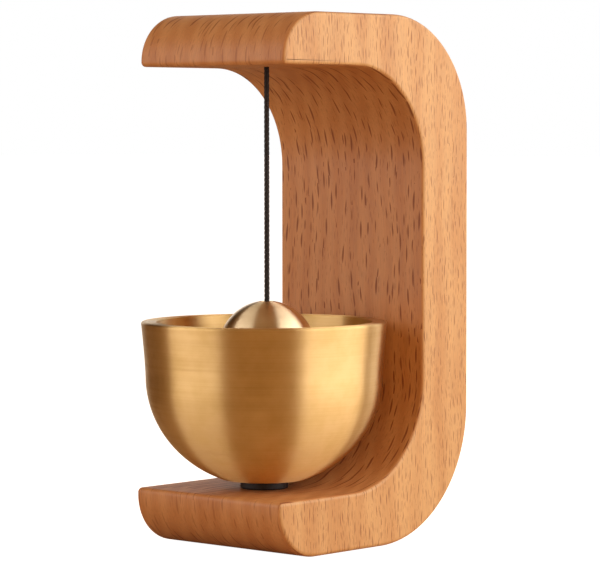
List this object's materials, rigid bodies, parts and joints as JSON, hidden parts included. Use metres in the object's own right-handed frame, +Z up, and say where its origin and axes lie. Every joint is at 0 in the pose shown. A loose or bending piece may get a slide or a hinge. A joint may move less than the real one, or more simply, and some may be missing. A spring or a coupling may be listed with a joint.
{
  "type": "door chime bell",
  "caption": "Door chime shaped like a small temple bell: a C-shaped beech frame with a brass bowl on its lower arm and a brass ball striker that swings on a cord.",
  "frame": {"origin": "on the ground plane, under the centre of the whole object's box without its cord", "axes": "+Z up, +X the frame's width, the open front faces -Y and the flat back faces +Y"},
  "size_m": [0.051, 0.0676, 0.11],
  "materials": {
    "beech": "satin oiled beech with short dark flecks",
    "beech_plug": "satin oiled end-grain beech",
    "bowl_brass": "turned satin brass",
    "ball_brass": "polished brass",
    "steel": "zinc-plated steel",
    "nickel": "nickel-plated magnet",
    "rubber": "dark matte rubber",
    "cord": "waxed braided cord"
  },
  "bodies": {
    "frame": {"frame": "beech", "cord_hole_plug": "beech_plug", "back_magnet_upper": "nickel", "back_magnet_lower": "nickel", "bowl": "bowl_brass", "bowl_foot": "rubber", "bowl_pad": "rubber", "screw_washer": "steel", "bowl_screw": "steel"},
    "cord_top": {"cord_top_knot": "cord", "cord_in_hole": "cord"},
    "striker": {"striker_cord": "cord", "striker_ball": "ball_brass", "cord_bottom_knot": "cord"}
  },
  "joints": [
    {"name": "striker_turn", "type": "hinge", "parent": "frame", "child": "cord_top", "pos_m": [0, -0.0074, 0.0992], "axis": [0, 0, 1], "continuous": true},
    {"name": "striker_swing", "type": "hinge", "parent": "cord_top", "child": "striker", "pos_m": [0, -0.0074, 0.0992], "axis": [1, 0, 0], "range_deg": [-9, 9]}
  ]
}
